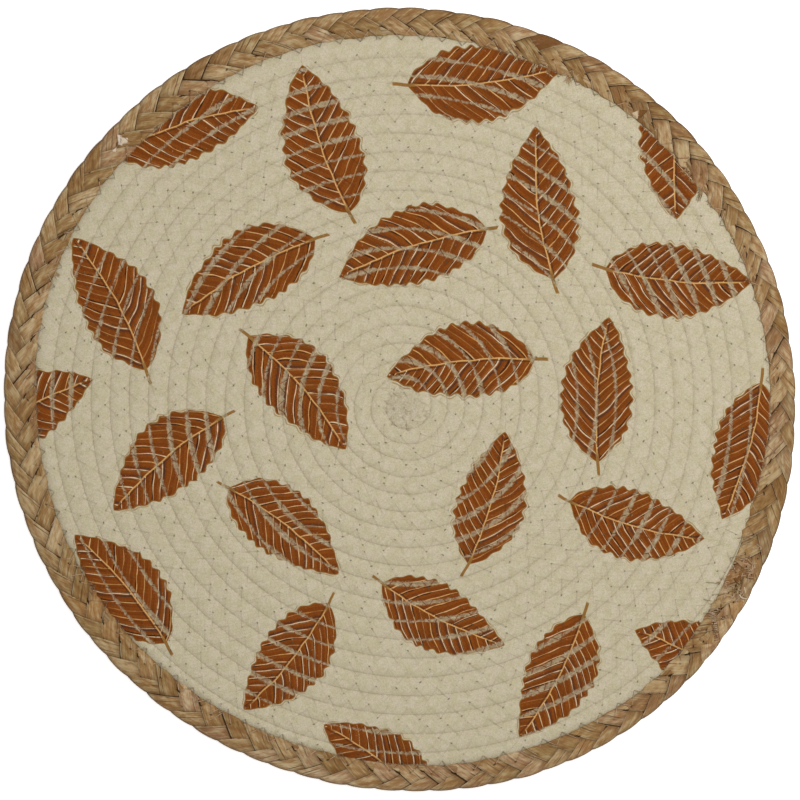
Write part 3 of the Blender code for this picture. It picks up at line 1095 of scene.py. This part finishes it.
def add_fold(strips, k):
    """The turned-back corner of an inner strip at the seam, and a patch painted dark as the shade
    in the gap at its tip.
    """
    base_angle = strip_angle(k)
    width = border_width(base_angle)

    def corner(ahead, share):
        run = INNER_LEAD + INNER_SLANT * width * max(share, 0.0) + ahead
        angle = base_angle + math.degrees(run / PLAIT_RADIUS)
        return border_point(angle, share)

    tip, end = rng.uniform(0.20, 0.36), rng.uniform(4.5, 8.5)
    start = rng.uniform(-1.6, 0.2)
    light, hue = rng.uniform(0.1, 0.95), 0.9 * rng.random()
    gap_width, gap_depth = rng.uniform(0.3, 0.9), rng.uniform(0.05, 0.13)
    gap = (corner(-0.6, tip + 0.03), corner(-0.6, tip - gap_depth),
           corner(gap_width, tip - gap_depth), corner(gap_width + 0.5, tip + 0.04))
    # The gap is a patch painted dark as the shade in it.
    add_patch(strips, gap, 0.30, 0.0, 0.5, GAP_SHADE)
    fold = (corner(0.3, tip), corner(start, 0.015), corner(end, 0.0), corner(1.5, tip - 0.02))
    add_patch(strips, fold, 0.42, light, hue)


def run_under(outer, share, sign, u, width):
    """How far in mm each point of a strip has run in under a strip of its rank, or the other."""
    lead = 0.0 if outer else INNER_LEAD
    same, cross = line_of(outer, share, width), line_of(not outer, share, width)
    above_same = u - (same + lead + LOBE_PITCH)
    above_cross = u - cross - (INNER_LEAD if outer else LOBE_PITCH)
    below_same = -same + lead + LOBE_PITCH * (LOBE_OVERLAP - 1) - u
    below_cross = LOBE_PITCH * LOBE_OVERLAP - cross - u
    below_cross = below_cross + (INNER_LEAD - LOBE_PITCH if outer else 0.0)
    above = sign > 0
    return np.where(above, above_same, below_same), np.where(above, above_cross, below_cross)


ROUGH_SEAM = ((28, 42), (56, 76), (318, 340), (205, 213))  # where the border's inner edge is torn


def inner_edge(angle, columns):
    """How far in mm a strip's inner end stands in over the rope, for each of its columns."""
    rough = any(low <= angle <= high for low, high in ROUGH_SEAM)
    most = 1.5 if rough else 0.55
    return np.array([rng.uniform(-0.3, 1.0) * most for _ in range(columns)])


def tooth_shape(v):
    """How far each column of an inner strip is from its low point, as a share."""
    return np.abs(v - TOOTH_AT) / TOOTH_AT


def strip_push(outer, v, near_edge, on_top):
    """How far a strip's bend stands out past the border's edge."""
    if outer:
        crown = arch(np.clip(v / LOBE_SHOWN, 0, 1)) ** 0.6
        return (0.72 * crown - 0.3 + rng.uniform(-0.22, 0.25)) * near_edge
    shape = np.where(on_top, -0.5 + 0.6 * tooth_shape(v), 0.3)
    return (shape + rng.uniform(-0.3, 0.2)) * near_edge


def strip_tint(angle, outer, hue):
    """Lightness, hue and lot of a strip."""
    light = rng.random()
    for low, high, rank, its_light, its_hue in TINT_STRETCHES:
        if low <= angle <= high and rank in (None, int(outer)):
            light, hue = its_light, its_hue
    return np.array((light, hue, rng.random()))


def make_strip(strips, k, hue):
    """One strip: from below, round its edge, over the top and under the other rank."""
    outer = k % 2 == 0
    base_angle = strip_angle(k) + rng.uniform(-0.13, 0.13)
    width = border_width(base_angle)
    v = np.linspace(0, 1, STRIP_COLUMNS)
    share, depth, side = strip_path(outer)
    s = np.repeat(share[:, None], STRIP_COLUMNS, 1)
    depth, side = depth[:, None], side[:, None]
    sign = np.where(side < 0, -1.0, 1.0)
    bow = rng.uniform(-0.6, 0.6) * arch(share)
    run_on = line_of(outer, share, width) * (1 + 0.05 * rng.uniform(-0.5, 0.5)) + bow
    lead = 0.0 if outer else INNER_LEAD
    u = lead + sign * run_on[:, None] + v * LOBE_PITCH * LOBE_OVERLAP

    under_same, under_cross = run_under(outer, s, sign, u, width)
    dive = 0.55 * smooth(under_same, -1.5, 0.0) + 0.55 * smooth(under_cross, -1.5, 0.0)
    dive = dive + 0.1 * np.clip(under_same, 0, 3) + 0.12 * np.clip(under_cross, 0, 4)
    bulge = arch(np.clip(v / LOBE_SHOWN, 0, 1)) * smooth(depth, 0.03, 0.25)
    wave = 0.12 * np.sin(v * 9 + k * 1.7) * smooth(depth, 0.05, 0.3)
    top = plait_crest(s) + 0.28 * bulge + wave + rng.uniform(-0.1, 0.12) - dive
    bottom = plait_floor(s) + dive
    middle = PLAIT_MIDDLE + 0.3 * (v - 0.5) * np.ones_like(s)
    z = np.maximum(np.where(side > 0, top, np.where(side < 0, bottom, middle)), 0.12)
    near_edge = smooth(depth, 0.34, 0.0)
    push = strip_push(outer, v, near_edge, side >= 0)
    if not outer:
        z = z + 0.45 * smooth(tooth_shape(v), 1.0, 0.0) * near_edge * (side > 0)
    angle = base_angle + np.degrees(u / PLAIT_RADIUS)
    at_rope = smooth(s, 0.22, 0.0) * (side >= 0)
    push = push - at_rope * inner_edge(base_angle % 360, STRIP_COLUMNS)
    plan = border_point(angle, s, push)
    grid = raised(plan, z + 0.25 * at_rope)

    along = run_along(grid[:, 3])[:, None] * np.ones(STRIP_COLUMNS)
    across = (v - 0.5) * STRIP_WIDTH * np.ones_like(s)
    fibre = np.stack((along, across, np.maximum(under_same, under_cross)), -1)
    tint = np.broadcast_to(strip_tint((base_angle + 3) % 360, outer, hue), grid.shape)
    beyond = around_mat(plan)[1] + 60.0 * (side < 0)
    facts = {"fibre": fibre, "tint": tint, "seam": seam_facts(angle, beyond)}
    if not outer:
        grid = grid[:, ::-1]
        facts = {name: value[:, ::-1] for name, value in facts.items()}
    strips.add(grid, -4, **facts)


def make_plait():
    """Two ranks of strips of one plait, and the patches sewn over its joint."""
    strips = Sheets()
    strand_hues = [rng.random() for _ in range(3)]
    for k in range(LOBES * 2):
        strand = (k // 2 + (0 if k % 2 == 0 else 2)) % 3
        if rng.random() < HUES_CHANGED:
            strand_hues[strand] = rng.random()
        make_strip(strips, k, strand_hues[strand] * 0.6 + rng.random() * 0.4)
    for k in range(LOBES):
        if rng.random() < FOLDS_SEEN and abs(LOBE_STEP * k + 4 - JOINT_ANGLE) > JOINT_REACH:
            add_fold(strips, 2 * k + 1)
    for *corners, lift, light, hue in PATCHES:
        add_patch(strips, corners, lift, light, hue)
    # Each hole is a small patch painted dark as the shade in it.
    for x, y in JOINT_HOLES:
        wide, long = rng.uniform(0.22, 0.38), rng.uniform(0.3, 0.6)
        left, right, front, back = x - wide, x + wide, y - long, y + long
        corners = (left, front), (right, front), (right, back), (left, back)
        add_patch(strips, corners, 0.9, 0.0, 0.5, GAP_SHADE)
    return strips.make("Plaited_border", "plaited_border", "leaf_strip", STRIP)


def make_core():
    """The hidden inside of the plait, painted dark as the shade seen between its strips."""
    angle = np.arange(0, 360, 1.5)
    section = (
        # share of the border's width, height
        (0.12, 3.0), (0.25, 1.6), (0.7, 1.5), (0.9, 2.6), (0.9, 3.8), (0.7, 4.9), (0.25, 4.9),
    )
    rings = []
    for share, height in section:
        plan = border_point(angle, np.full_like(angle, share))
        rings.append(raised(plan, np.full_like(angle, height)))
    points = np.stack(rings, 1).reshape(-1, 3)
    count = len(points)
    faces = grid_faces(len(angle) + 1, len(section), 0, ring=True) % count
    core = make_piece("Plait_core", points, faces.tolist(), "plaited_border", "leaf_strip", STRIP)
    # The core takes the fullest crease shade that is painted on the strips.
    fibre, tint = np.tile((0.0, 0.0, HIDDEN), (count, 1)), np.full((count, 3), 0.3)
    give(core, fibre=fibre, tint=tint, seam=np.tile(UNSEWN, (count, 1)))
    return core


def seam_lines(top):
    """Zigzag threads that join the rope's last turn to the border."""
    half_steps = np.arange(2 * SEAM_REPEATS)[:, None]
    angle = half_steps * 180 / SEAM_REPEATS
    angle_after = angle + 180 / SEAM_REPEATS
    outward = half_steps % 2 == 0
    share = np.array((0.0, 0.06, 0.2, 0.38, 0.58, 0.78, 0.94, 1.0))
    angles = angle + (angle_after - angle) * share
    travel = np.where(outward, share, 1 - share)
    inward = seam_hole(np.where(outward, angle, angle_after), True)
    reach = seam_hole(np.where(outward, angle_after, angle), False)
    plan = beside_rope(angles, travel * (inward + reach) - inward)
    ends = both_ends(share, 0.08)
    # Every other leg lies on the border; the rest is drawn in between its strips.
    loose = np.where(outward, 0.42, 0.0) + 0.3 * np.sin(half_steps * 2.3)
    z = np.interp(travel, (0.0, 0.12, 0.5, 0.9, 1.0), (6.0, 6.1, 6.15, 6.4, 6.45)) + loose
    if top:
        return raised(plan, z - 0.8 * ends)
    z = np.interp(travel, (0.0, 0.3, 0.5, 1.0), (0.3, 0.4, 0.5, 0.35))
    return raised(plan, z + 0.5 * ends)


JOINT_SEWING = (
    # from and to (angle, beyond the rope's edge), half width, legs, lift
    ((325.2, 1.6), (322.4, 10.6), 1.5, 26, 0.75),
    ((326.4, -1.2), (324.4, 2.6), 1.7, 11, 0.75),
    ((335.0, 3.6), (332.6, 10.6), 1.6, 9, 0.85),
    ((330.6, 7.2), (329.4, 11.8), 0.9, 5, 1.15),
)


def joint_lines():
    """Dense hand zigzags that hold the plait's overlapped ends."""
    share = np.linspace(0, 1, 8)
    for start, end, half, legs, lift in JOINT_SEWING:
        first, last = (beside_rope(*end) for end in (start, end))
        ahead = last - first
        left = np.array((-ahead[1], ahead[0])) / np.linalg.norm(ahead)
        for k in range(legs):
            aside = left * (half if k % 2 else -half)
            near = first + ahead * (k + rng.uniform(-0.6, 0.6)) / legs + aside
            far = first + ahead * (k + rng.uniform(0.4, 1.6)) / legs - aside
            bow = arch(share)[:, None] * ahead / legs * rng.uniform(-0.9, 0.9)
            plan = near + share[:, None] * (far - near) * rng.uniform(0.75, 1.1) + bow
            plan, z = on_top(plan, 0.6)
            z = z + lift + 0.2 * arch(share) - 0.75 * both_ends(share, 0.12)
            yield raised(plan, z + rng.uniform(-0.25, 0.1))


TANGLES = (
    # angle, beyond the rope's edge, half spreads of both in mm, threads, lift of the threads
    (333.6, 6.0, 5.5, 4.5, 22, 0.55),
    (329.6, 5.0, 5.0, 4.5, 20, 0.55),
    (325.8, 4.0, 2.5, 3.0, 10, 0.55),
    (337.4, 6.0, 4.0, 4.0, 8, 0.55),
)


def curl(start, longest, lift):
    """A short curled stitch that lies on the mat's top."""
    share = np.linspace(0, 1, 10)
    heading = rng.uniform(0, 360) + rng.uniform(-170, 170) * share
    path = np.cumsum(direction(heading) * rng.uniform(0.4, 1.0) * longest / 9, axis=0)
    plan, z = on_top(start + path, 0.8)
    return raised(plan, z + lift + rng.uniform(-0.2, 0.2) - 0.6 * both_ends(share, 0.15))


def tangle_lines():
    """Short curled stitches in no order over the plait's joint."""
    for angle, beyond, spread_along, spread_across, count, lift in TANGLES:
        for _ in range(count):
            at = angle + math.degrees(rng.uniform(-1, 1) * spread_along / PLAIT_RADIUS)
            out = beyond + rng.uniform(-1, 1) * spread_across
            yield curl(beside_rope(at, out), 4.2, lift)


def centre_lines():
    """Short stitches over the coil's first turn, half of them at its groove."""
    for _ in range(CENTRE_STITCHES):
        away = rng.choice((9.5 * rng.random() ** 0.6, rng.gauss(9.6, 0.7)))
        start = COIL_CENTRE + WHORL_DRIFT + away * direction(rng.uniform(0, 360))
        yield curl(start, 2.6, 0.05)


LOOSE_THREADS = (
    # angle, start beyond the rope's edge, heading, length, bend
    (35.9, 1.0, 238, 8.0, 14),
    (37.5, 0.6, 200, 4.5, -30),
    (65.7, -0.2, 150, 2.4, 120),
    (62.0, 3.4, 214, 6.5, 10),
    (40.2, 2.2, 176, 6.0, 12),
    (136.9, 7.5, 290, 5.0, 60),
    (207.6, 5.6, 6, 6.4, 6),
    (204.9, 5.2, 10, 6.0, -6),
    (237.8, 4.4, 30, 6.2, -8),
    (238.3, 7.0, 22, 7.4, 12),
    (330.0, 8.6, 292, 5.6, -100),
    (326.2, -5.6, 345, 7.5, 8),
    (329.6, -1.6, 160, 7.0, 20),
    (350.2, 3.0, 190, 6.0, 25),
    (119.0, 2.0, 250, 4.2, 40),
    (94.5, 3.0, 262, 5.2, 12),
)


def loose_lines():
    """Ends and slack loops of thread that lie along the seam."""
    share = np.linspace(0, 1, 10)
    for angle, beyond, heading, length, bend in LOOSE_THREADS:
        path = np.cumsum(direction(heading + bend * share) * length / 9, axis=0)
        plan = beside_rope(angle, beyond) + path - path[0]
        z = on_top(plan, 0.6)[1] + 0.62 - 0.7 * (1 - smooth(share, 0.0, 0.1))
        yield raised(plan, z)


FRAYS = (
    # angle, start beyond the rope's edge, heading, fibres, length, spread
    (333.5, 5.0, 60, 14, 3.0, 9.0),
    (330.0, 6.5, 120, 14, 3.0, 9.0),
    (326.0, 4.0, 80, 8, 2.4, 4.0),
    (72.3, 0.6, 265, 5, 4.0, 0.5),
    (69.0, 0.3, 250, 12, 6.0, 4.2),
    (66.8, 0.2, 268, 8, 5.0, 1.2),
    (63.3, 0.3, 240, 9, 5.0, 1.6),
    (39.0, 0.4, 215, 12, 5.6, 3.4),
    (35.7, 0.8, 232, 9, 7.4, 1.2),
    (33.6, 0.5, 235, 8, 4.2, 2.4),
    (330.4, 0.2, 150, 7, 4.4, 8.0),
    (350.5, 0.4, 185, 6, 3.8, 2.2),
    (210.5, 0.2, 40, 5, 3.0, 2.0),
    (160.0, 0.3, 330, 6, 3.2, 2.0),
    (97.0, 0.3, 285, 5, 3.0, 2.2),
)
FRAY_TAPER = 0.27 * np.array((1.0, 1.0, 0.9, 0.75, 0.55, 0.3))  # a fibre's radius along it


def make_frays():
    """Loose leaf fibres that stand out of the seam over the rope."""
    lines, tints = [], []
    share = np.linspace(0, 1, len(FRAY_TAPER))
    for angle, beyond, heading, fibres, length, spread in FRAYS:
        for _ in range(fibres):
            start = beside_rope(angle, beyond)
            start = start + direction(angle + 90) * rng.uniform(-0.5, 0.5) * spread
            turn = heading + rng.gauss(0, 16) + rng.uniform(-40, 40) * share
            step = length * rng.uniform(0.5, 1.1) / 5
            plan = start + np.cumsum(direction(turn) * step, axis=0) - direction(turn[:1]) * step
            z = top_height(*around_mat(plan)) + 0.28 + rng.uniform(0.0, 0.2) - 0.4 * (share < 0.1)
            lines.append(raised(plan, z + 0.35 * (beyond > 2.0)))
    for _, beyond, _, fibres, _, _ in FRAYS:
        # Those over the joint are made dark, as painted shade between its threads.
        darkest = -1.2 if beyond > 2.0 else 0.1
        tints += [(rng.uniform(darkest, 0.9 + darkest), rng.random(), rng.random())] * fibres
    points, faces = tubes(np.array(lines), FRAY_TAPER)
    frays = make_piece("Loose_fibres", points, faces, "plaited_border", "leaf_strip", STRIP)
    count = len(points)
    each = count // len(lines)
    nothing = np.zeros(count)
    fibre = np.stack((np.arange(count) % each, nothing, nothing + NOT_UNDER), -1)
    tint = np.repeat(tints, each, axis=0)
    give(frays, fibre=fibre, tint=tint, seam=np.tile(UNSEWN, (count, 1)))
    return frays


rope = make_rope()
border = make_plait()
core = make_core()
threads = [
    make_thread("Zigzag_top", zigzag_lines(True), "rope_coil", THREAD),
    make_thread("Zigzag_underside", zigzag_lines(False), "rope_coil", THREAD, sides=3),
    make_thread("Seam_top", seam_lines(True)),
    make_thread("Seam_underside", seam_lines(False), sides=3),
    make_thread("Joint_sewing", joint_lines()),
    make_thread("Centre_stitches", centre_lines(), "rope_coil", THREAD),
    make_thread("Joint_tangle", tangle_lines()),
    make_thread("Loose_threads", loose_lines()),
    make_frays(),
]


# -------------------- floor, light, camera

WHITE = (1.0, 1.0, 1.0, 1.0)
VIEW_WIDTH = 0.3853  # metres of the mat's top that the photo spans
CAMERA_DISTANCE, MAT_TOP = 2.5, 0.0065
MIDDLE_OF_VIEW = (0.00024, -0.00024)
FLOOR_SIZE, FLOOR_HEIGHT = 6.0, -0.00005  # just below the mat, in metres
SENSOR = 36
LAMPS = (
    # name, place, power, size
    ("Key", (1.4, 1.1, 9.4), 225.0, 5.0),
    ("Top", (0.28, 0.20, 0.80), 3.75, 0.25),
)


def make_floor():
    bpy.ops.mesh.primitive_plane_add(size=FLOOR_SIZE, location=(0, 0, FLOOR_HEIGHT))
    floor = bpy.context.object
    floor.name = "Floor"
    net = Net("floor", Roughness=0.95, Specular_IOR_Level=0.0, Emission_Strength=0.5,
              Emission_Color=WHITE)
    where = net.place()
    tone = net.mix(net.noise(where, 0.01), (0.90, 0.90, 0.90), (0.92, 0.92, 0.92))
    floor.data.materials.append(net.finish(tone, (net.noise(where, 0.5), 0.05)))
    floor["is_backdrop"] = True


def make_lights():
    world = bpy.data.worlds.new("Studio")
    bpy.context.scene.world = world
    world.use_nodes = True
    background = world.node_tree.nodes["Background"].inputs
    background["Color"].default_value = WHITE
    background["Strength"].default_value = 0.50
    for name, place, power, size in LAMPS:
        light = bpy.data.lights.new(name, "AREA")
        light.energy, light.size = power, size
        lamp = add_to_scene(name, light)
        lamp.location = place
        x, y, z = place
        lamp.rotation_euler = (
            math.acos(z / np.linalg.norm(place)), 0, math.atan2(-y, -x) - math.pi / 2,
        )


def make_camera():
    camera = add_to_scene("Camera", bpy.data.cameras.new("Camera"))
    bpy.context.scene.camera = camera
    camera.location = (*MIDDLE_OF_VIEW, CAMERA_DISTANCE + MAT_TOP)
    camera.data.lens = SENSOR * CAMERA_DISTANCE / VIEW_WIDTH
    camera.data.sensor_width = SENSOR
    camera.data.clip_end = 20
    bpy.context.scene.view_settings.view_transform = "Standard"


make_floor()
make_lights()
make_camera()
[[list(corner) for corner in box] for box in (size_before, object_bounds())]
